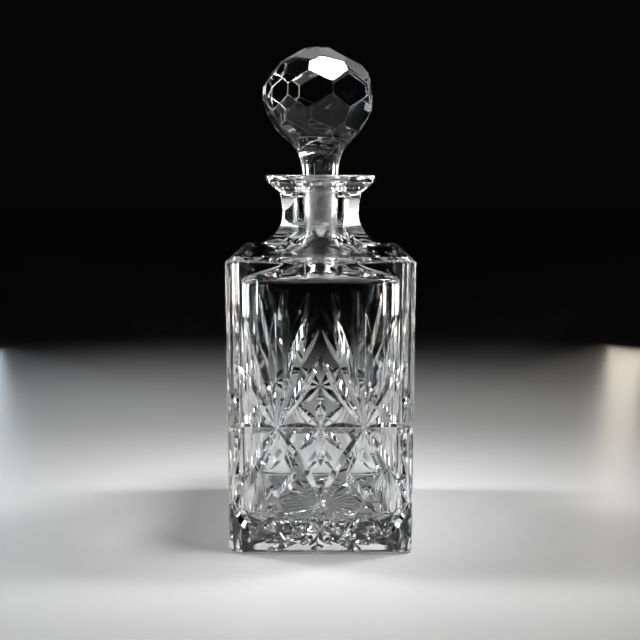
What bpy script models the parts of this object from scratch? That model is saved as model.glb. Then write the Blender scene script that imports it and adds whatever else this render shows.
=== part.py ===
"""Cut crystal decanter: a square bottle with mitre-cut faces and a faceted ball stopper.

Metres, +Z up, standing on z = 0 with the neck's axis on the Z axis.
"""

import math

import bmesh
import bpy
from mathutils import Matrix, Vector

# Driving dimensions
HEIGHT = 0.2500
FOOT_HALF = 0.0460
SHOULDER_HALF = 0.0455
CORNER_RADIUS = 0.0040
SHOULDER_Z = 0.1451
NECK_FLAT = 0.0194
NECK_DIAGONAL = 0.0219
LIP_RADIUS = 0.0284
LIP_Z = 0.1868
FLOOR_Z = 0.0135
CAVITY_HALF = 0.0390
PLUG_BOTTOM_Z = 0.1590
PLUG_BOTTOM_RADIUS = 0.0081
PLUG_TOP_RADIUS = 0.0092
PLUG_GAP = 0.0003
BALL_CENTRE_Z = 0.2232
BALL_RADIUS = 0.0304
FACETS_ROUND = 8
FACET_CENTRE_Z = 0.2222
# Each row of facets: latitude and offset in degrees, distance from the centre
FACET_ROWS = ((-28.0, 10.5, 0.0239), (5.2, -8.2, 0.0269), (38.2, 12.4, 0.0278), (60.5, -16.8, 0.0273))

# The pattern on each side, in face coordinates (across, up)
STAR_UP = 0.0647
STAR_ACROSS = 0.0215
LATTICE_STEP = 0.0193
FAN_ANGLES = (-31.5, -15.2, 0.0, 15.2, 31.5)
FAN_LENGTHS = (0.0395, 0.0570, 0.0570, 0.0570, 0.0395)
FAN_WIDTHS = (0.0060, 0.0070, 0.0070, 0.0070, 0.0060)
FAN_PEAK = 0.56
LIGHTER_PASS = 0.0003
OUT_OF_LINE = 0.0001
WHEEL_HALF_ANGLE = math.radians(60.0)
LEAF_STEPS = 5

TURNED_STEPS = 40


def clear_scene():
    for obj in list(bpy.data.objects):
        bpy.data.objects.remove(obj)


def crystal(name, roughness):
    material = bpy.data.materials.new(name)
    material.use_nodes = True
    shader = material.node_tree.nodes["Principled BSDF"]
    shader.inputs["Base Color"].default_value = (0.96, 0.97, 0.98, 1.0)
    shader.inputs["Roughness"].default_value = roughness
    shader.inputs["IOR"].default_value = 1.545
    shader.inputs["Transmission Weight"].default_value = 1.0
    return material


def linked(name, mesh):
    obj = bpy.data.objects.new(name, mesh)
    bpy.context.scene.collection.objects.link(obj)
    return obj


def object_from(name, bm, smooth=False):
    bmesh.ops.recalc_face_normals(bm, faces=bm.faces[:])
    for face in bm.faces:
        face.smooth = smooth
    mesh = bpy.data.meshes.new(name)
    bm.to_mesh(mesh)
    bm.free()
    return linked(name, mesh)


def arc(centre, radius, start, end, steps):
    """Points of an arc in a profile plane, angles in degrees."""
    points = []
    for i in range(steps + 1):
        angle = math.radians(start + (end - start) * i / steps)
        across = centre[0] + radius * math.cos(angle)
        up = centre[1] + radius * math.sin(angle)
        points.append((across, up))
    return points


def rounded_square(half, radius, steps=4):
    """Plan outline of a square with rounded corners, anticlockwise."""
    inner = half - radius
    points = []
    for quarter in range(4):
        turn = Matrix.Rotation(quarter * math.pi / 2, 2)
        for point in arc((inner, inner), radius, 0.0, 90.0, steps):
            points.append(turn @ Vector(point))
    return points


def loft(name, sections, steps=4, smooth=False):
    """Closed skin through rounded-square sections (half width, corner radius, z)."""
    bm = bmesh.new()
    rings = []
    for half, radius, z in sections:
        outline = rounded_square(half, radius, steps)
        rings.append([bm.verts.new((p.x, p.y, z)) for p in outline])
    count = len(rings[0])
    for low, high in zip(rings, rings[1:]):
        for i in range(count):
            j = (i + 1) % count
            bm.faces.new((low[i], low[j], high[j], high[i]))
    bm.faces.new(rings[0])
    bm.faces.new(rings[-1])
    return object_from(name, bm, smooth)


def turned(name, profile, steps=TURNED_STEPS):
    """Solid of revolution; the profile (radius, z) starts and ends on the axis."""
    bm = bmesh.new()
    bottom = bm.verts.new((0.0, 0.0, profile[0][1]))
    top = bm.verts.new((0.0, 0.0, profile[-1][1]))
    rings = []
    for radius, z in profile[1:-1]:
        ring = []
        for i in range(steps):
            angle = 2 * math.pi * (i + 0.5) / steps
            ring.append(bm.verts.new((radius * math.cos(angle), radius * math.sin(angle), z)))
        rings.append(ring)
    for i in range(steps):
        j = (i + 1) % steps
        bm.faces.new((bottom, rings[0][j], rings[0][i]))
        bm.faces.new((top, rings[-1][i], rings[-1][j]))
        for low, high in zip(rings, rings[1:]):
            bm.faces.new((low[i], low[j], high[j], high[i]))
    return object_from(name, bm, smooth=True)


def prism(name, outline, turn_degrees, half_length=0.09):
    """An outline (across, z) drawn out along the level direction square to it."""
    bm = bmesh.new()
    turn = Matrix.Rotation(math.radians(turn_degrees), 3, "Z")
    ends = []
    for y in (-half_length, half_length):
        ends.append([bm.verts.new(turn @ Vector((across, y, z))) for across, z in outline])
    count = len(outline)
    for i in range(count):
        j = (i + 1) % count
        bm.faces.new((ends[0][i], ends[0][j], ends[1][j], ends[1][i]))
    bm.faces.new(ends[0])
    bm.faces.new(ends[1])
    return object_from(name, bm)


def boolean(target, tool, operation, solver="EXACT"):
    modifier = target.modifiers.new(tool.name, "BOOLEAN")
    modifier.object = tool
    modifier.operation = operation
    modifier.solver = solver
    tool.hide_render = True
    tool.display_type = "WIRE"


def baked(obj, tools, sharp_degrees=25.0):
    """Keep the evaluated mesh, drop the tools, and mark creases sharp."""
    bpy.context.view_layer.update()
    evaluated = obj.evaluated_get(bpy.context.evaluated_depsgraph_get())
    mesh = bpy.data.meshes.new_from_object(evaluated)
    obj.modifiers.clear()
    obj.data = mesh
    for tool in tools:
        bpy.data.objects.remove(tool)
    for polygon in mesh.polygons:
        polygon.use_smooth = True
    mesh.set_sharp_from_angle(angle=math.radians(sharp_degrees))


def mirrored_outline(half):
    return half + [(-across, z) for across, z in reversed(half)]


def side_outline():
    """What the four broad sides leave: level shoulder, concave sweep, neck panel, lip flare."""
    half = [(0.0700, -0.010), (0.0700, 0.1440), (SHOULDER_HALF + 0.0005, 0.1469)]
    half += [(0.0430, 0.1480), (0.0360, 0.1498), (0.0300, 0.1519), (0.0260, 0.1543), (0.0232, 0.1569)]
    half += [(0.0212, 0.1601), (0.0198, 0.1638), (NECK_FLAT, 0.1681), (0.0199, 0.1744)]
    half += [(0.0208, 0.1776), (0.0240, 0.1803), (LIP_RADIUS, 0.1848)]
    return mirrored_outline(half + [(0.0400, 0.1900), (0.0400, 0.1970)])


def diagonal_outline():
    """What the four narrow diagonal flutes leave; they stop short of the corners."""
    half = [(0.0800, -0.010), (0.0800, 0.1605), (0.0640, 0.1605), (0.0612, 0.1495)]
    half += [(0.0580, 0.1484), (0.0505, 0.1485), (0.0402, 0.1501), (0.0330, 0.1521), (0.0277, 0.1545)]
    half += [(0.0245, 0.1571), (0.0226, 0.1605), (NECK_DIAGONAL, 0.1665), (0.0224, 0.1746)]
    half += [(0.0241, 0.1792), (0.0296, 0.1853)]
    return mirrored_outline(half + [(0.0400, 0.1900), (0.0400, 0.1970)])


def lip_profile():
    rim = LIP_Z - 0.0010
    profile = [(0.0, -0.005), (0.0750, -0.005), (0.0750, 0.1635), (0.0238, 0.1676)]
    profile += [(0.0232, 0.1775), (0.0248, 0.1800), (LIP_RADIUS - 0.0006, 0.1837), (LIP_RADIUS, rim)]
    profile += [(LIP_RADIUS - 0.0003, LIP_Z - 0.0003), (LIP_RADIUS - 0.0010, LIP_Z)]
    return profile + [(0.0, LIP_Z)]


def body_sections():
    """Outer skin: rounded foot, slight taper, rounded shoulder edge."""
    foot = [(FOOT_HALF - 0.0024, 0.0028, 0.0), (FOOT_HALF - 0.0010, 0.0036, 0.0004)]
    foot += [(FOOT_HALF - 0.0002, CORNER_RADIUS, 0.0014), (FOOT_HALF, CORNER_RADIUS, 0.0026)]
    edge = [(SHOULDER_HALF, CORNER_RADIUS, SHOULDER_Z)]
    edge += [(SHOULDER_HALF - 0.0004, 0.0040, 0.1462), (SHOULDER_HALF - 0.0013, 0.0038, 0.1467)]
    edge += [(SHOULDER_HALF - 0.0021, 0.0038, 0.1476), (SHOULDER_HALF - 0.0027, 0.0038, 0.1483)]
    edge += [(SHOULDER_HALF - 0.0027, 0.0038, 0.1970)]
    return foot + edge


def cavity_sections():
    """Inside of the bottle: rounded floor, straight walls, ceiling drawn in to the bore."""
    floor = [(0.0300, 0.0100, FLOOR_Z), (0.0352, 0.0104, FLOOR_Z + 0.0009)]
    floor += [(CAVITY_HALF - 0.0012, 0.0104, FLOOR_Z + 0.0034), (CAVITY_HALF, 0.0105, FLOOR_Z + 0.0080)]
    ceiling = [(CAVITY_HALF, 0.0085, 0.1290), (CAVITY_HALF - 0.0006, 0.0089, 0.1335)]
    ceiling += [(CAVITY_HALF - 0.0024, 0.0098, 0.1355), (0.0335, 0.0109, 0.1366)]
    ceiling += [(0.0225, 0.0127, 0.1402), (0.0150, 0.0119, 0.1448), (0.0108, 0.0105, 0.1496)]
    bore = [(0.0090, 0.00899, 0.1540), (PLUG_BOTTOM_RADIUS + PLUG_GAP, 0.00839, PLUG_BOTTOM_Z)]
    bore += [(PLUG_TOP_RADIUS + PLUG_GAP, 0.00949, LIP_Z - 0.0010)]
    bore += [(PLUG_TOP_RADIUS + 0.0015, 0.01069, LIP_Z + 0.0002), (0.0107, 0.01069, 0.1970)]
    return floor + ceiling + bore


def lift_corners(cavity):
    """The blown inside stands a little higher in its corners than half way along each side."""
    for vert in cavity.data.vertices:
        x, y, z = vert.co
        ramp = min(max((z - 0.1240) / 0.0100, 0.0), 1.0)
        vert.co.z += 0.0034 * ramp * (abs(x * y) / CAVITY_HALF ** 2) ** 0.8


def face_frame(quarter):
    """Matrix from (across, up, out) on one side of the body to the object's axes."""
    lean = math.atan2(SHOULDER_HALF - FOOT_HALF, SHOULDER_Z)
    upright = Matrix.Rotation(math.pi / 2 + lean, 4, "X")
    place = Matrix.Translation((0.0, -FOOT_HALF, 0.0))
    return Matrix.Rotation(quarter * math.pi / 2, 4, "Z") @ place @ upright


def leaf_shape(share, peak):
    """Depth along a leaf as a share of its greatest depth."""
    front, back = 2 * peak, 2 * (1 - peak)
    return (share / peak) ** front * ((1 - share) / (1 - peak)) ** back


def leaf_cut(bm, frame, start, end, width, peak=0.5, steps=LEAF_STEPS):
    """One pass of a V-edged wheel: deepest at the peak, running out to a point at each end."""
    spread = math.tan(WHEEL_HALF_ANGLE)
    clear = 0.0012
    start, end = Vector(start), Vector(end)
    along = (end - start).normalized()
    side = Vector((-along.y, along.x))
    rings = []
    for i in range(steps + 1):
        share = i / steps
        depth = width / 2 / spread * leaf_shape(share, peak)
        middle = start.lerp(end, share)
        reach = (depth + clear) * spread
        left, right = middle + side * reach, middle - side * reach
        corners = ((left.x, left.y, clear), (middle.x, middle.y, -depth), (right.x, right.y, clear))
        rings.append([bm.verts.new(frame @ Vector(corner)) for corner in corners])
    for low, high in zip(rings, rings[1:]):
        for a, b in ((0, 1), (1, 2), (2, 0)):
            bm.faces.new((low[a], low[b], high[b], high[a]))
    bm.faces.new(rings[0])
    bm.faces.new(rings[-1])


def fan_cuts():
    """Leaves that stand up from each outer star."""
    cuts = []
    for across in (-STAR_ACROSS, STAR_ACROSS):
        for angle, length, width in zip(FAN_ANGLES, FAN_LENGTHS, FAN_WIDTHS):
            lean = math.radians(angle)
            toward = Vector((math.sin(lean), math.cos(lean)))
            star = Vector((across, STAR_UP))
            cuts.append((star - toward * 0.0012, star + toward * length, width, FAN_PEAK))
    return cuts


def band_cuts():
    """The level row of leaves and the small star at its middle; facing leaves are a hair out of line."""
    cuts = []
    for sign, lighter in ((-1, 0.0), (1, LIGHTER_PASS)):
        star = sign * STAR_ACROSS
        level = STAR_UP + sign * OUT_OF_LINE
        cuts.append(((star + sign * 0.001, level), (-sign * 0.0024, level), 0.0055 - lighter))
        cuts.append(((star - sign * 0.001, STAR_UP), (sign * 0.0490, STAR_UP), 0.0062 - lighter))
        middle = sign * OUT_OF_LINE
        cuts.append(((middle, STAR_UP - sign * 0.0018), (middle, STAR_UP + sign * 0.0190), 0.0049 - lighter))
        for rise in (0.0112, -0.0112):
            tip = (sign * 0.0112 + middle, STAR_UP + rise)
            cuts.append(((-sign * 0.0015, STAR_UP - rise * 0.14), tip, 0.0047 - lighter))
    return cuts


def lattice_cuts():
    """The wide crossing cuts of the lower half."""
    half, step = STAR_ACROSS / 2, LATTICE_STEP
    crossing = STAR_UP - 2 * step
    foot = crossing - 0.92 * step
    cuts = []
    for sign in (-1, 1):
        star = sign * STAR_ACROSS
        for way, lighter in ((-1, 0.0), (1, LIGHTER_PASS)):
            knot = (star + way * 2.1 * half, crossing - 0.0018)
            cuts.append(((star - way * 0.0006, STAR_UP + 0.001), knot, 0.0074 - lighter))
            short = (star + way * 0.0086, STAR_UP - 0.0240)
            cuts.append(((star, STAR_UP + 0.0010), short, 0.0038 - lighter))
            top = (star + way * half * 1.02, STAR_UP - step)
            cuts.append((top, (star - way * half, foot), 0.0066 - lighter))
        cuts.append(((-sign * 0.0016, crossing + 0.0027), (sign * half, foot), 0.0056))
        cuts.append(((sign * 0.0448, crossing + 0.0027), (sign * 3 * half, foot), 0.0056))
    return cuts


def cutting_tools():
    """One tool for each cut of the pattern, holding its four copies round the body."""
    tools = []
    for i, cut in enumerate(fan_cuts() + band_cuts() + lattice_cuts()):
        bm = bmesh.new()
        for quarter in range(4):
            leaf_cut(bm, face_frame(quarter), *cut)
        tools.append(object_from(f"mitre_cut_{i}", bm))
    return tools


def make_bottle(material):
    bottle = loft("decanter_bottle", body_sections())
    shapes = [
        prism("broad_sides_x", side_outline(), 0.0),
        prism("broad_sides_y", side_outline(), 90.0),
        prism("diagonal_flutes_a", diagonal_outline(), 45.0),
        prism("diagonal_flutes_b", diagonal_outline(), -45.0),
        turned("lip_turning", lip_profile()),
    ]
    for shape in shapes:
        boolean(bottle, shape, "INTERSECT")
    cavity = loft("cavity", cavity_sections(), steps=6, smooth=True)
    lift_corners(cavity)
    boolean(bottle, cavity, "DIFFERENCE")
    cuts = cutting_tools()
    # Where many cuts meet at a star the exact solver returns nothing, so these use MANIFOLD
    for cut in cuts:
        boolean(bottle, cut, "DIFFERENCE", "MANIFOLD")
    baked(bottle, shapes + [cavity] + cuts)
    bottle.data.materials.clear()
    bottle.data.materials.append(material)
    return bottle


def stopper_profile():
    """Tapered plug, slender stem, concave flare and ball."""
    profile = [(0.0, PLUG_BOTTOM_Z), (PLUG_BOTTOM_RADIUS - 0.0008, PLUG_BOTTOM_Z)]
    profile += [(PLUG_BOTTOM_RADIUS, PLUG_BOTTOM_Z + 0.0008), (PLUG_TOP_RADIUS, LIP_Z)]
    profile += [(0.0095, 0.1895), (0.0099, 0.1925), (0.0109, 0.1962), (0.0130, 0.2001)]
    profile += [(0.0164, 0.2041), (0.0208, 0.2081), (0.0252, 0.2122)]
    start = -math.degrees(math.asin((BALL_CENTRE_Z - 0.2155) / BALL_RADIUS))
    top = math.degrees(math.asin(0.96))
    profile += arc((0.0, BALL_CENTRE_Z), BALL_RADIUS, start, top, 16)
    return profile + [(0.0, BALL_CENTRE_Z + BALL_RADIUS * 0.96)]


def cut_facet(bm, centre, normal, distance):
    """Grind one flat on the ball: drop what lies beyond the plane and close the opening."""
    floor = 0.1985
    geometry = [vert for vert in bm.verts if vert.co.z > floor]
    geometry += [edge for edge in bm.edges if min(v.co.z for v in edge.verts) > floor]
    geometry += [face for face in bm.faces if min(v.co.z for v in face.verts) > floor]
    result = bmesh.ops.bisect_plane(
        bm,
        geom=geometry,
        dist=1e-7,
        plane_co=centre + normal * distance,
        plane_no=normal,
        clear_outer=True,
    )
    edges = [item for item in result["geom_cut"] if isinstance(item, bmesh.types.BMEdge)]
    bmesh.ops.holes_fill(bm, edges=edges, sides=0)


def make_stopper(material):
    stopper = turned("ball_stopper", stopper_profile(), steps=72)
    bm = bmesh.new()
    bm.from_mesh(stopper.data)
    centre = Vector((0.0, 0.0, FACET_CENTRE_Z))
    for latitude, offset, distance in FACET_ROWS:
        level, height = math.cos(math.radians(latitude)), math.sin(math.radians(latitude))
        for i in range(FACETS_ROUND):
            turn = math.radians(offset + i * 360.0 / FACETS_ROUND - 90.0)
            normal = Vector((level * math.cos(turn), level * math.sin(turn), height))
            cut_facet(bm, centre, normal, distance)
    cut_facet(bm, centre, Vector((0.0, 0.0, 1.0)), HEIGHT - FACET_CENTRE_Z)
    bmesh.ops.dissolve_limit(bm, angle_limit=0.001, verts=bm.verts[:], edges=bm.edges[:])
    for face in bm.faces:
        face.smooth = True
    bm.to_mesh(stopper.data)
    bm.free()
    stopper.data.set_sharp_from_angle(angle=math.radians(12.0))
    stopper.data.materials.append(material)
    stopper.data.transform(Matrix.Translation((0.0, 0.0, -LIP_Z)))
    stopper.location.z = LIP_Z
    return stopper


def main():
    clear_scene()
    make_bottle(crystal("bottle_crystal", 0.0))
    make_stopper(crystal("stopper_crystal", 0.02))


main()
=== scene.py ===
import math

import bmesh
import bpy
from mathutils import Matrix, Vector


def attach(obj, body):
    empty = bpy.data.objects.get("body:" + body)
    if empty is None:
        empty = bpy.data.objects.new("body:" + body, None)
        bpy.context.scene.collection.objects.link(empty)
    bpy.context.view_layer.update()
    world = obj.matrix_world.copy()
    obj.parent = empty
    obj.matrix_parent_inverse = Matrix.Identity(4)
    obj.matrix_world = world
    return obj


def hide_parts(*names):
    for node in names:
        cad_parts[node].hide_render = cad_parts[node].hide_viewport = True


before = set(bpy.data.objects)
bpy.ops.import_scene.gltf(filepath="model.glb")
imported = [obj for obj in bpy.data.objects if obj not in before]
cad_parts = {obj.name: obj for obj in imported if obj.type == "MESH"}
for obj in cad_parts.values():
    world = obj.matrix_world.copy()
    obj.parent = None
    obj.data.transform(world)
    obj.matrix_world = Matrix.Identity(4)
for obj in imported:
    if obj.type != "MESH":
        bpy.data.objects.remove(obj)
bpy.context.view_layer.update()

# ---------------------------------------------------------------- bottle sizes (metres, +Z up)
FOOT_HALF = 0.0460
FOOT_ROUND = 0.0024
SHOULDER_HALF = 0.0455
SHOULDER_Z = 0.1451
SHOULDER_ROUND = 0.0016
LIP_RADIUS = 0.0284
LIP_Z = 0.1868
LIP_ROUND = 0.0014
FLOOR_Z = 0.0135
CAVITY_HALF = 0.0390
CAVITY_ROUND = 0.0070
CORNER_LIFT = 0.0034
CORNER_LIFT_FROM_Z = 0.1240
CORNER_LIFT_OVER = 0.0100
PRISM_REACH = 0.1

# ---------------------------------------------------------------- stopper sizes
PLUG_BOTTOM_Z = 0.1590
PLUG_BOTTOM_RADIUS = 0.0081
PLUG_TOP_RADIUS = 0.0092
PLUG_GAP = 0.0003
BALL_CENTRE_Z = 0.2228
BALL_RADIUS = 0.0304
BALL_TOP_SHARE = 0.96  # height of the turned ball's flat end over its radius
FLAT_TOP_Z = 0.2493
FACETS_ROUND = 8
# latitude and turn of the row (degrees), distance of its flats from FACET_CENTRE
FACET_ROWS = (
    (-28.0, 10.5, 0.0239),
    (5.2, -8.2, 0.0269),
    (38.2, 12.4, 0.0278),
    (60.5, -16.8, 0.0273),
)
FACET_CENTRE = (-0.0005, 0.0, 0.2217)
FACET_TILT = -0.6  # degrees about Y
FACETS_ABOVE_Z = 0.1985
STOPPER_LEAN = 0.6  # degrees, toward -X

# ---------------------------------------------------------------- wheel cuts (rays as reach and width)
STAR_UP = 0.0647
STAR_ACROSS = 0.0215
LATTICE_STEP = 0.0193
FAN_ANGLES = (-31.5, -15.2, 0.0, 15.2, 31.5)
FAN_LENGTHS = (0.0395, 0.0570, 0.0570, 0.0570, 0.0395)
FAN_WIDTHS = (0.0060, 0.0070, 0.0070, 0.0070, 0.0060)
FAN_PEAK = 0.56
BASE_RAYS = 24
BASE_LONG_RAY = (0.0405, 0.0082)
BASE_SHORT_RAY = (0.0290, 0.0060)
BASE_RAY_PEAK = 0.62
WHEEL_HALF_ANGLE = math.radians(60.0)
WHEEL_WORN = 0.00022
CUTTER_CLEAR = 0.0012
LEAF_STEPS = 14

# ---------------------------------------------------------------- glass
GROUND_RADIUS = 0.0101
GROUND_ROUGHNESS = 0.24
GROUND_FADE = 0.0003
HAZE_ROUGHNESS = 0.03
EDGE_ROUGHNESS = 0.5

# ---------------------------------------------------------------- studio
# bearing round the object from the camera (degrees), width (m), radiance share, colour
STRIPS = (
    (32.0, 0.030, 1.0, (1.0, 0.96, 0.90)),
    (-38.0, 0.035, 1.0, (0.92, 0.96, 1.0)),
    (61.0, 0.030, 1.0, (1.0, 1.0, 1.0)),
    (-66.0, 0.030, 1.0, (1.0, 1.0, 1.0)),
    (90.0, 0.070, 0.9, (1.0, 1.0, 1.0)),
    (-94.0, 0.070, 0.9, (1.0, 1.0, 1.0)),
    (118.0, 0.040, 1.2, (0.80, 0.90, 1.0)),
    (-121.0, 0.040, 1.2, (1.0, 0.92, 0.80)),
    (146.0, 0.040, 1.0, (1.0, 0.90, 0.76)),
    (-143.0, 0.040, 1.0, (0.78, 0.89, 1.0)),
)
STRIP_POWER = 1.35
STRIP_RING_RADIUS = 0.62
STRIP_Z = 0.19
STRIP_HEIGHT = 0.36
STRIP_TARGET_Z = 0.17
STRIP_SPREAD = 44.0
CAMERA_PLACE = (-0.0003, -0.455, LIP_Z)
CAMERA_DOWN = 9.50
CAMERA_LENS = 48.9
LIGHT_BOUNCES = 24


# ---------------------------------------------------------------- mesh helpers
def object_from(name, bm):
    bmesh.ops.recalc_face_normals(bm, faces=bm.faces[:])
    mesh = bpy.data.meshes.new(name)
    bm.to_mesh(mesh)
    bm.free()
    obj = bpy.data.objects.new(name, mesh)
    bpy.context.scene.collection.objects.link(obj)
    return obj


def arc(centre, radius, start, end, steps):
    """Points of an arc from start to end degrees."""
    points = []
    for i in range(steps + 1):
        angle = math.radians(start + (end - start) * i / steps)
        points.append((centre[0] + radius * math.cos(angle), centre[1] + radius * math.sin(angle)))
    return points


def curve_through(points, steps):
    """Smooth Catmull-Rom curve through control points that hold any number of values."""
    out = []
    last = len(points) - 1
    for k in range(last):
        p0, p1 = points[max(k - 1, 0)], points[k]
        p2, p3 = points[k + 1], points[min(k + 2, last)]
        for i in range(steps):
            t = i / steps
            out.append(tuple(
                0.5 * (2 * b + (c - a) * t + (2 * a - 5 * b + 4 * c - d) * t * t
                       + (3 * b - a - 3 * c + d) * t * t * t)
                for a, b, c, d in zip(p0, p1, p2, p3)
            ))
    return out + [tuple(points[last])]


def rounded_square(half, radius, steps):
    inner = half - radius
    points = []
    for quarter in range(4):
        turn = Matrix.Rotation(quarter * math.pi / 2, 2)
        for point in arc((inner, inner), radius, 0.0, 90.0, steps):
            points.append(turn @ Vector(point))
    return points


def loft(name, sections, steps):
    """Solid through level rounded squares, each given as (half width, corner radius, z)."""
    bm = bmesh.new()
    rings = []
    for half, radius, z in sections:
        rings.append([bm.verts.new((p.x, p.y, z)) for p in rounded_square(half, radius, steps)])
    count = len(rings[0])
    for low, high in zip(rings, rings[1:]):
        for i in range(count):
            j = (i + 1) % count
            bm.faces.new((low[i], low[j], high[j], high[i]))
    bm.faces.new(rings[0])
    bm.faces.new(rings[-1])
    return object_from(name, bm)


def turned(name, profile, steps):
    """Solid of revolution from (radius, z) points that start and end on the axis."""
    bm = bmesh.new()
    rings = []
    for radius, z in profile[1:-1]:
        ring = []
        for i in range(steps):
            angle = 2 * math.pi * (i + 0.5) / steps
            ring.append(bm.verts.new((radius * math.cos(angle), radius * math.sin(angle), z)))
        rings.append(ring)
    for low, high in zip(rings, rings[1:]):
        for i in range(steps):
            j = (i + 1) % steps
            bm.faces.new((low[i], low[j], high[j], high[i]))
    bm.faces.new(rings[0])
    bm.faces.new(rings[-1])
    return object_from(name, bm)


def prism(name, half_outline, turn_degrees):
    """Bar that runs level through the body; half_outline is one side of its upright section."""
    outline = half_outline + [(-across, z) for across, z in reversed(half_outline)]
    bm = bmesh.new()
    turn = Matrix.Rotation(math.radians(turn_degrees), 3, "Z")
    ends = []
    for y in (-PRISM_REACH, PRISM_REACH):
        ends.append([bm.verts.new(turn @ Vector((across, y, z))) for across, z in outline])
    count = len(outline)
    for i in range(count):
        j = (i + 1) % count
        bm.faces.new((ends[0][i], ends[0][j], ends[1][j], ends[1][i]))
    bm.faces.new(ends[0])
    bm.faces.new(ends[1])
    return object_from(name, bm)


def boolean(target, tool, operation):
    """Adds a Boolean modifier; bake applies them all in turn."""
    modifier = target.modifiers.new(tool.name, "BOOLEAN")
    modifier.object = tool
    modifier.operation = operation
    modifier.solver = "MANIFOLD"


def bake(obj, tools):
    """Applies the modifiers to the mesh and removes the tools that they used."""
    bpy.context.view_layer.update()
    mesh = bpy.data.meshes.new_from_object(obj.evaluated_get(bpy.context.evaluated_depsgraph_get()))
    obj.modifiers.clear()
    mesh.materials.clear()
    obj.data = mesh
    for tool in tools:
        bpy.data.objects.remove(tool)


def polish(obj, sharp_degrees):
    """Flats stay flat and curved cuts stay smooth: creases by angle, normals weighted by area."""
    mesh = obj.data
    for polygon in mesh.polygons:
        polygon.use_smooth = True
    mesh.set_sharp_from_angle(angle=math.radians(sharp_degrees))
    weighted = obj.modifiers.new("weighted_normals", "WEIGHTED_NORMAL")
    weighted.keep_sharp = True
    weighted.weight = 80


# ---------------------------------------------------------------- bottle
def side_outline():
    """Half outline seen square on: shoulder, flat of the neck and flare under the lip."""
    points = [(0.0700, -0.010), (0.0700, 0.1440), (0.0460, 0.1469)]
    points += curve_through([(0.0440, 0.1476), (0.0430, 0.1480), (0.0395, 0.1488), (0.0360, 0.1498),
                             (0.0330, 0.1507), (0.0300, 0.1519), (0.0270, 0.1536), (0.0250, 0.1551),
                             (0.0232, 0.1569), (0.0218, 0.1590), (0.0206, 0.1613), (0.0198, 0.1638),
                             (0.0194, 0.1665), (0.0194, 0.1696), (0.0197, 0.1721), (0.0199, 0.1744),
                             (0.0203, 0.1765), (0.0214, 0.1784), (0.0240, 0.1803), (0.0264, 0.1824),
                             (0.0284, 0.1848)], 3)
    return points + [(0.0400, 0.1900), (0.0400, 0.1970)]


def diagonal_outline():
    """Half outline seen corner on: the same shoulder and neck, cut across the corners."""
    points = [(0.0800, -0.010), (0.0800, 0.1605), (0.0640, 0.1605), (0.0612, 0.1495)]
    points += curve_through([(0.0600, 0.1488), (0.0580, 0.1484), (0.0560, 0.1482), (0.0505, 0.1485),
                             (0.0450, 0.1492), (0.0402, 0.1501), (0.0360, 0.1512), (0.0320, 0.1525),
                             (0.0290, 0.1538), (0.0265, 0.1553), (0.0245, 0.1571), (0.0231, 0.1593),
                             (0.0223, 0.1617), (0.0220, 0.1645), (0.0219, 0.1686), (0.0221, 0.1726),
                             (0.0227, 0.1762), (0.0241, 0.1792), (0.0262, 0.1818), (0.0296, 0.1853)], 3)
    return points + [(0.0400, 0.1900), (0.0400, 0.1970)]


def lip_profile():
    """Turned envelope that rounds the neck's flutes into the flare and the lip."""
    profile = [(0.0, -0.005), (0.0750, -0.005), (0.0750, 0.1635), (0.0238, 0.1676)]
    profile += curve_through([(0.0232, 0.1736), (0.0233, 0.1775), (0.0248, 0.1800), (0.0275, 0.1827)], 4)
    profile += arc((LIP_RADIUS - LIP_ROUND, LIP_Z - 0.0015), LIP_ROUND, -38.0, 78.0, 9)
    return profile + [(LIP_RADIUS - 0.0040, LIP_Z), (0.0, LIP_Z)]


def body_sections():
    """Rounded foot, upright sides and rounded shoulder edge, then straight up for the outlines to cut."""
    foot = []
    for i in range(7):
        angle = math.radians(90.0 * i / 6)
        foot.append((FOOT_HALF - FOOT_ROUND * (1 - math.sin(angle)), 0.0030 + 0.0010 * math.sin(angle),
                     FOOT_ROUND * (1 - math.cos(angle))))
    edge = []
    for i in range(5):
        angle = math.radians(80.0 * i / 4)
        edge.append((SHOULDER_HALF - SHOULDER_ROUND * (1 - math.cos(angle)), 0.0040,
                     SHOULDER_Z + SHOULDER_ROUND * math.sin(angle)))
    half = edge[-1][0] - 0.0008
    upper = [(half, 0.0038, 0.1476), (half - 0.0006, 0.0038, 0.1483), (half - 0.0006, 0.0038, 0.1970)]
    return foot + edge + upper


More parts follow.
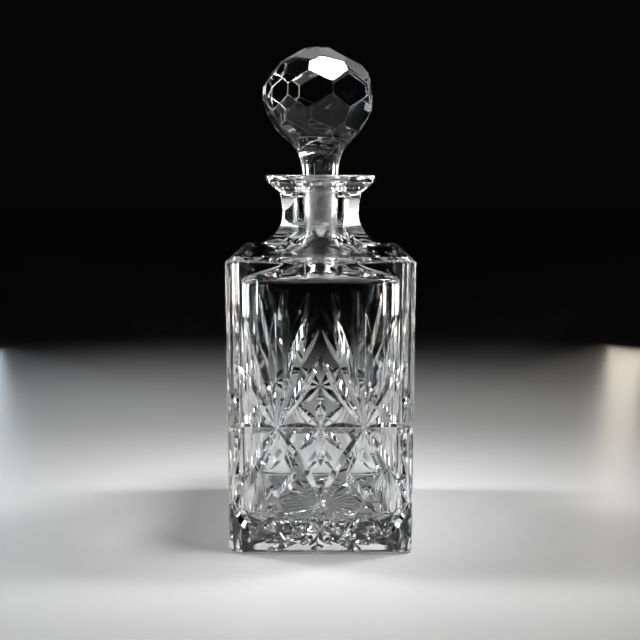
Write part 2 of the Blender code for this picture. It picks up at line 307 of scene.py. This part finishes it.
def cavity_sections():
    """The hollow: dished floor, ceiling that draws in to the bore, and the bore, eased at the lip."""
    floor = [(0.0270, 0.0100, FLOOR_Z)]
    for i in range(9):
        angle = math.radians(90.0 * i / 8)
        floor.append((CAVITY_HALF - CAVITY_ROUND + CAVITY_ROUND * math.sin(angle), 0.0110,
                      FLOOR_Z + 0.0002 + CAVITY_ROUND * (1 - math.cos(angle))))
    ceiling = curve_through([
        (CAVITY_HALF, 0.0085, 0.1290), (CAVITY_HALF - 0.0002, 0.0087, 0.1322),
        (CAVITY_HALF - 0.0009, 0.0090, 0.1341), (CAVITY_HALF - 0.0024, 0.0098, 0.1355),
        (CAVITY_HALF - 0.0050, 0.0108, 0.1367), (0.0300, 0.0120, 0.1383), (0.0230, 0.0127, 0.1407),
        (0.0168, 0.0123, 0.1434), (0.0130, 0.0115, 0.1466), (0.0106, 0.0104, 0.1500),
        (0.0090, 0.00898, 0.1540),
    ], 3)
    bore = []
    for radius, z in (
        (PLUG_BOTTOM_RADIUS + PLUG_GAP, PLUG_BOTTOM_Z),
        (PLUG_TOP_RADIUS + PLUG_GAP, LIP_Z - 0.0012),
        (PLUG_TOP_RADIUS + 0.0006, LIP_Z - 0.0006),
        (PLUG_TOP_RADIUS + 0.0014, LIP_Z + 0.0002),
        (PLUG_TOP_RADIUS + 0.0014, 0.1900),
    ):
        bore.append((radius, radius - 1e-5, z))
    return floor + ceiling + bore


def lift_corners(cavity):
    """The blown inside stands a little higher in its corners than half way along each side."""
    for vert in cavity.data.vertices:
        x, y, z = vert.co
        upper = min(max((z - CORNER_LIFT_FROM_Z) / CORNER_LIFT_OVER, 0.0), 1.0)
        vert.co.z += CORNER_LIFT * upper * (abs(x * y) / CAVITY_HALF ** 2) ** 0.8


def face_frame(quarter):
    """Places a cut drawn across, up and out of the glass on one of the four leaning sides."""
    lean = math.atan2(SHOULDER_HALF - FOOT_HALF, SHOULDER_Z)
    upright = Matrix.Rotation(math.pi / 2 + lean, 4, "X")
    place = Matrix.Translation((0.0, -FOOT_HALF, 0.0))
    return Matrix.Rotation(quarter * math.pi / 2, 4, "Z") @ place @ upright


def leaf_shape(share, peak):
    """Depth along a leaf as a share of its greatest depth."""
    front, back = 1.8 * peak, 1.8 * (1 - peak)
    return (share / peak) ** front * ((1 - share) / (1 - peak)) ** back


def leaf_cut(name, frame_matrix, start, end, width, peak=0.5):
    """One pass of a V-edged wheel with a slightly worn edge, running out to a point at each end."""
    spread = math.tan(WHEEL_HALF_ANGLE)
    start, end = Vector(start), Vector(end)
    along = (end - start).normalized()
    side = Vector((-along.y, along.x))
    bm = bmesh.new()
    rings = []
    for i in range(LEAF_STEPS + 1):
        share = i / LEAF_STEPS
        depth = width / 2 / spread * leaf_shape(share, peak)
        middle = start.lerp(end, share)
        worn = WHEEL_WORN
        shape = [
            (depth + CUTTER_CLEAR, CUTTER_CLEAR),
            (worn, -depth + worn / spread),
            (worn * 0.4, -depth + worn * 0.30),
            (-worn * 0.4, -depth + worn * 0.30),
            (-worn, -depth + worn / spread),
            (-depth - CUTTER_CLEAR, CUTTER_CLEAR),
        ]
        ring = []
        for k, (across, up) in enumerate(shape):
            if k in (0, 5):
                across *= spread
            point = middle + side * across
            ring.append(bm.verts.new(frame_matrix @ Vector((point.x, point.y, up))))
        rings.append(ring)
    count = len(rings[0])
    for low, high in zip(rings, rings[1:]):
        for a in range(count):
            b = (a + 1) % count
            bm.faces.new((low[a], low[b], high[b], high[a]))
    bm.faces.new(rings[0])
    bm.faces.new(rings[-1])
    return object_from(name, bm)


def fan_cuts():
    """Five leaves that spread upward from each star."""
    cuts = []
    for across in (-STAR_ACROSS, STAR_ACROSS):
        for angle, length, width in zip(FAN_ANGLES, FAN_LENGTHS, FAN_WIDTHS):
            lean = math.radians(angle)
            toward = Vector((math.sin(lean), math.cos(lean)))
            star = Vector((across, STAR_UP))
            cuts.append((star - toward * 0.0012, star + toward * length, width, FAN_PEAK))
    return cuts


def band_cuts():
    """The level groove through both stars, and the smaller star half way between them."""
    cuts = []
    for sign in (-1, 1):
        star = sign * STAR_ACROSS
        cuts.append(((star + sign * 0.001, STAR_UP), (-sign * 0.001, STAR_UP), 0.0055))
        cuts.append(((star - sign * 0.001, STAR_UP), (sign * 0.0490, STAR_UP), 0.0062))
        cuts.append(((0.0, STAR_UP - sign * 0.001), (0.0, STAR_UP + sign * 0.0190), 0.0049))
        for rise in (0.0112, -0.0112):
            tip = (sign * 0.0112, STAR_UP + rise)
            cuts.append(((-sign * 0.0008, STAR_UP - rise * 0.07), tip, 0.0047))
    return cuts


def lattice_cuts():
    """Crossed diagonals below the stars that leave diamonds standing."""
    half, step = STAR_ACROSS / 2, LATTICE_STEP
    crossing = STAR_UP - 2 * step
    foot = crossing - 0.92 * step
    cuts = []
    for sign in (-1, 1):
        star = sign * STAR_ACROSS
        for way in (-1, 1):
            cuts.append(((star - way * 0.0006, STAR_UP + 0.001),
                         (star + way * 2.1 * half, crossing - 0.0018), 0.0074))
            cuts.append(((star, STAR_UP + 0.0010), (star + way * 0.0086, STAR_UP - 0.0240), 0.0038))
            cuts.append(((star + way * half * 1.02, STAR_UP - step), (star - way * half, foot), 0.0066))
        cuts.append(((-sign * 0.0016, crossing + 0.0027), (sign * half, foot), 0.0056))
        cuts.append(((sign * 0.0448, crossing + 0.0027), (sign * 3 * half, foot), 0.0056))
    return cuts


def base_cuts():
    """A star ground into the underside, every second ray shorter, stretched to fill the square."""
    cuts = []
    for k in range(BASE_RAYS):
        turn = 2 * math.pi * (k + 0.25) / BASE_RAYS
        toward = Vector((math.cos(turn), math.sin(turn)))
        reach, width = BASE_LONG_RAY if k % 2 == 0 else BASE_SHORT_RAY
        reach /= max(abs(toward.x), abs(toward.y))
        cuts.append((-toward * 0.0016, toward * reach, width, BASE_RAY_PEAK))
    return cuts


def make_bottle():
    bottle = loft("crystal_bottle", body_sections(), 10)
    shapes = [
        prism("sides_x", side_outline(), 0.0),
        prism("sides_y", side_outline(), 90.0),
        prism("flutes_a", diagonal_outline(), 45.0),
        prism("flutes_b", diagonal_outline(), -45.0),
        turned("lip", lip_profile(), 128),
    ]
    for shape in shapes:
        boolean(bottle, shape, "INTERSECT")
    cavity = loft("cavity", cavity_sections(), 14)
    lift_corners(cavity)
    boolean(bottle, cavity, "DIFFERENCE")
    cuts = []
    under = Matrix.Rotation(math.pi, 4, "X")
    for k, cut in enumerate(base_cuts()):
        cuts.append(leaf_cut(f"base_cut_{k}", under, *cut))
        boolean(bottle, cuts[-1], "DIFFERENCE")
    for quarter in range(4):
        matrix = face_frame(quarter)
        for k, cut in enumerate(fan_cuts() + band_cuts() + lattice_cuts()):
            cuts.append(leaf_cut(f"cut_{quarter}_{k}", matrix, *cut))
            boolean(bottle, cuts[-1], "DIFFERENCE")
    bake(bottle, shapes + [cavity] + cuts)
    polish(bottle, 20.0)
    return bottle


# ---------------------------------------------------------------- stopper
def stopper_profile():
    """Plug, stem, flare and ball, turned before the facets are ground."""
    profile = [(0.0, PLUG_BOTTOM_Z), (PLUG_BOTTOM_RADIUS - 0.0008, PLUG_BOTTOM_Z)]
    profile += [(PLUG_BOTTOM_RADIUS - 0.0002, PLUG_BOTTOM_Z + 0.0003)]
    profile += [(PLUG_BOTTOM_RADIUS, PLUG_BOTTOM_Z + 0.0009), (PLUG_TOP_RADIUS, LIP_Z)]
    profile += curve_through([(0.0094, 0.1885), (0.0096, 0.1905), (0.0099, 0.1925), (0.0103, 0.1942),
                              (0.0109, 0.1962), (0.0118, 0.1982), (0.0130, 0.2001), (0.0145, 0.2021),
                              (0.0164, 0.2041), (0.0185, 0.2061), (0.0208, 0.2081), (0.0230, 0.2101),
                              (0.0252, 0.2122)], 3)
    start = -math.degrees(math.asin((BALL_CENTRE_Z - 0.2155) / BALL_RADIUS))
    top = math.degrees(math.asin(BALL_TOP_SHARE))
    profile += arc((0.0, BALL_CENTRE_Z), BALL_RADIUS, start, top, 40)
    return profile + [(0.0, BALL_CENTRE_Z + BALL_RADIUS * BALL_TOP_SHARE)]


def cut_facet(bm, centre, normal, distance):
    """Grinds one flat on the ball and leaves the plug and the stem below it alone."""
    ball = [item for item in bm.verts if item.co.z > FACETS_ABOVE_Z]
    ball += [item for item in bm.edges if min(v.co.z for v in item.verts) > FACETS_ABOVE_Z]
    ball += [item for item in bm.faces if min(v.co.z for v in item.verts) > FACETS_ABOVE_Z]
    result = bmesh.ops.bisect_plane(
        bm, geom=ball, dist=1e-7,
        plane_co=centre + normal * distance, plane_no=normal, clear_outer=True)
    edges = [item for item in result["geom_cut"] if isinstance(item, bmesh.types.BMEdge)]
    bmesh.ops.holes_fill(bm, edges=edges, sides=0)


def make_stopper():
    """The facets are ground by hand, so their pattern sits a little off the ball's own axis."""
    stopper = turned("crystal_stopper", stopper_profile(), 160)
    bm = bmesh.new()
    bm.from_mesh(stopper.data)
    centre = Vector(FACET_CENTRE)
    tilt = Matrix.Rotation(math.radians(FACET_TILT), 3, "Y")
    for latitude, offset, distance in FACET_ROWS:
        level, height = math.cos(math.radians(latitude)), math.sin(math.radians(latitude))
        for i in range(FACETS_ROUND):
            turn = math.radians(offset + i * 360.0 / FACETS_ROUND - 90.0)
            normal = tilt @ Vector((level * math.cos(turn), level * math.sin(turn), height))
            cut_facet(bm, centre, normal, distance)
    cut_facet(bm, Vector((0.0, 0.0, 0.0)), Vector((0.0, 0.0, 1.0)), FLAT_TOP_Z)
    seat = Matrix.Translation((0.0, 0.0, (PLUG_BOTTOM_Z + LIP_Z) / 2))
    bm.transform(seat @ Matrix.Rotation(math.radians(-STOPPER_LEAN), 4, "Y") @ seat.inverted())
    bm.to_mesh(stopper.data)
    bm.free()
    polish(stopper, 12.0)
    return stopper


# ---------------------------------------------------------------- materials
def ramp(tree, source, start, end, low, high):
    """low up to start and high from end on, with a straight run between them."""
    node = tree.nodes.new("ShaderNodeMapRange")
    node.inputs["From Min"].default_value = start
    node.inputs["From Max"].default_value = end
    node.inputs["To Min"].default_value = low
    node.inputs["To Max"].default_value = high
    tree.links.new(source, node.inputs["Value"])
    return node.outputs["Result"]


def calculate(tree, operation, first, second):
    node = tree.nodes.new("ShaderNodeMath")
    node.operation = operation
    tree.links.new(first, node.inputs[0])
    tree.links.new(second, node.inputs[1])
    return node.outputs["Value"]


def noise(tree, place, scale, detail):
    node = tree.nodes.new("ShaderNodeTexNoise")
    node.inputs["Scale"].default_value = scale
    node.inputs["Detail"].default_value = detail
    tree.links.new(place, node.inputs["Vector"])
    return node.outputs["Fac"]


def ground_joint(tree, place, start_z, end_z):
    """Roughness of the ground joint, which lies between two heights and close to the axis."""
    axes = tree.nodes.new("ShaderNodeSeparateXYZ")
    tree.links.new(place, axes.inputs["Vector"])
    level = tree.nodes.new("ShaderNodeCombineXYZ")
    tree.links.new(axes.outputs["X"], level.inputs["X"])
    tree.links.new(axes.outputs["Y"], level.inputs["Y"])
    radius = tree.nodes.new("ShaderNodeVectorMath")
    radius.operation = "LENGTH"
    tree.links.new(level.outputs["Vector"], radius.inputs[0])
    above = ramp(tree, axes.outputs["Z"], start_z - GROUND_FADE, start_z, 0.0, GROUND_ROUGHNESS)
    below = ramp(tree, axes.outputs["Z"], end_z, end_z + GROUND_FADE, 1.0, 0.0)
    inside = ramp(tree, radius.outputs["Value"], GROUND_RADIUS, GROUND_RADIUS + GROUND_FADE, 1.0, 0.0)
    return calculate(tree, "MULTIPLY", calculate(tree, "MULTIPLY", above, below), inside)


def worn_edges(tree):
    """Normal rounded over the edges, and the roughness where that turns it away from the flat."""
    edges = tree.nodes.new("ShaderNodeBevel")
    edges.samples = 4
    edges.inputs["Radius"].default_value = 0.0006
    surface = tree.nodes.new("ShaderNodeNewGeometry")
    agreement = tree.nodes.new("ShaderNodeVectorMath")
    agreement.operation = "DOT_PRODUCT"
    tree.links.new(edges.outputs["Normal"], agreement.inputs[0])
    tree.links.new(surface.outputs["True Normal"], agreement.inputs[1])
    return edges.outputs["Normal"], ramp(tree, agreement.outputs["Value"], 0.90, 0.995, EDGE_ROUGHNESS, 0.0)


def crystal(name, ground_from_z, ground_to_z):
    """Lead crystal: clear, faintly wavy, with wheel haze and softened edges; the ground joint is matt."""
    material = bpy.data.materials.new(name)
    material.use_nodes = True
    tree = material.node_tree
    shader = tree.nodes["Principled BSDF"]
    shader.inputs["Base Color"].default_value = (0.985, 0.99, 0.995, 1.0)
    shader.inputs["IOR"].default_value = 1.55
    shader.inputs["Transmission Weight"].default_value = 1.0

    place = tree.nodes.new("ShaderNodeTexCoord").outputs["Object"]
    haze = ramp(tree, noise(tree, place, 55.0, 4.0), 0.45, 0.75, 0.0, HAZE_ROUGHNESS)
    ground = ground_joint(tree, place, ground_from_z, ground_to_z)
    edge_normal, edge_roughness = worn_edges(tree)
    surface = calculate(tree, "MAXIMUM", haze, ground)
    tree.links.new(calculate(tree, "MAXIMUM", surface, edge_roughness), shader.inputs["Roughness"])

    bump = tree.nodes.new("ShaderNodeBump")
    bump.inputs["Strength"].default_value = 0.04
    bump.inputs["Distance"].default_value = 0.0012
    tree.links.new(noise(tree, place, 70.0, 1.0), bump.inputs["Height"])
    tree.links.new(edge_normal, bump.inputs["Normal"])
    tree.links.new(bump.outputs["Normal"], shader.inputs["Normal"])
    return material


def floor_material():
    material = bpy.data.materials.new("floor")
    material.use_nodes = True
    shader = material.node_tree.nodes["Principled BSDF"]
    shader.inputs["Base Color"].default_value = (0.60, 0.60, 0.60, 1.0)
    shader.inputs["Roughness"].default_value = 0.35
    return material


# ---------------------------------------------------------------- stage
def make_floor():
    """Plain floor, a hair below the foot so that the two never share a plane."""
    bm = bmesh.new()
    bmesh.ops.create_grid(bm, x_segments=1, y_segments=1, size=4.0)
    floor = object_from("floor", bm)
    floor.location.z = -0.0002
    floor.data.materials.append(floor_material())


def area_light(name, place, target, size, energy, spread, colour=(1.0, 1.0, 1.0)):
    """Soft box of a size in metres, aimed at target, its light kept within spread degrees."""
    light = bpy.data.lights.new(name, "AREA")
    light.spread = math.radians(spread)
    light.shape = "RECTANGLE"
    light.size, light.size_y = size
    light.energy = energy
    light.color = colour
    obj = bpy.data.objects.new(name, light)
    bpy.context.scene.collection.objects.link(obj)
    obj.location = place
    toward = Vector(target) - Vector(place)
    obj.rotation_euler = toward.to_track_quat("-Z", "Y").to_euler()
    obj.visible_camera = False


def make_lights():
    """Tall narrow soft boxes round a dark room for the cuts to catch, and soft pools on the floor."""
    world = bpy.data.worlds.new("studio")
    world.use_nodes = True
    world.node_tree.nodes["Background"].inputs["Color"].default_value = (0.0015, 0.0015, 0.0018, 1.0)
    bpy.context.scene.world = world
    for angle, width, share, colour in STRIPS:
        turn = math.radians(angle)
        place = (STRIP_RING_RADIUS * math.sin(turn), -STRIP_RING_RADIUS * math.cos(turn), STRIP_Z)
        area_light(f"strip_{angle:.0f}", place, (0.0, 0.0, STRIP_TARGET_Z), (width, STRIP_HEIGHT),
                   STRIP_POWER * width * share, STRIP_SPREAD, colour)
    for side in (-1, 1):
        area_light(f"floor_{side}", (side * 0.34, 0.26, 0.50), (side * 0.19, 0.22, 0.0),
                   (0.16, 0.16), 0.06, 56.0)
        area_light(f"overhead_{side}", (side * 0.27, 0.05, 0.58), (0.0, 0.0, 0.19),
                   (0.05, 0.26), 0.16, 34.0)
    area_light("top", (0.13, -0.05, 0.72), (0.0, 0.0, 0.2226), (0.13, 0.13), 0.45, 60.0)


def make_camera():
    camera = bpy.data.cameras.new("camera")
    camera.lens = CAMERA_LENS
    camera.sensor_width = 36.0
    obj = bpy.data.objects.new("camera", camera)
    bpy.context.scene.collection.objects.link(obj)
    obj.location = CAMERA_PLACE
    obj.rotation_euler = (math.radians(90.0 - CAMERA_DOWN), 0.0, 0.0)
    bpy.context.scene.camera = obj


bottle = make_bottle()
stopper = make_stopper()
bottle.data.materials.append(crystal("bottle_crystal", PLUG_BOTTOM_Z - 0.003, LIP_Z - 0.002))
stopper.data.materials.append(crystal("stopper_crystal", PLUG_BOTTOM_Z - 0.001, LIP_Z - 0.001))
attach(bottle, "bottle")
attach(stopper, "stopper")
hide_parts("decanter_bottle")
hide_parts("ball_stopper")
make_floor()
make_lights()
make_camera()
bpy.context.scene.view_settings.view_transform = "Standard"
bpy.context.scene.cycles.max_bounces = LIGHT_BOUNCES
bpy.context.scene.cycles.transmission_bounces = LIGHT_BOUNCES
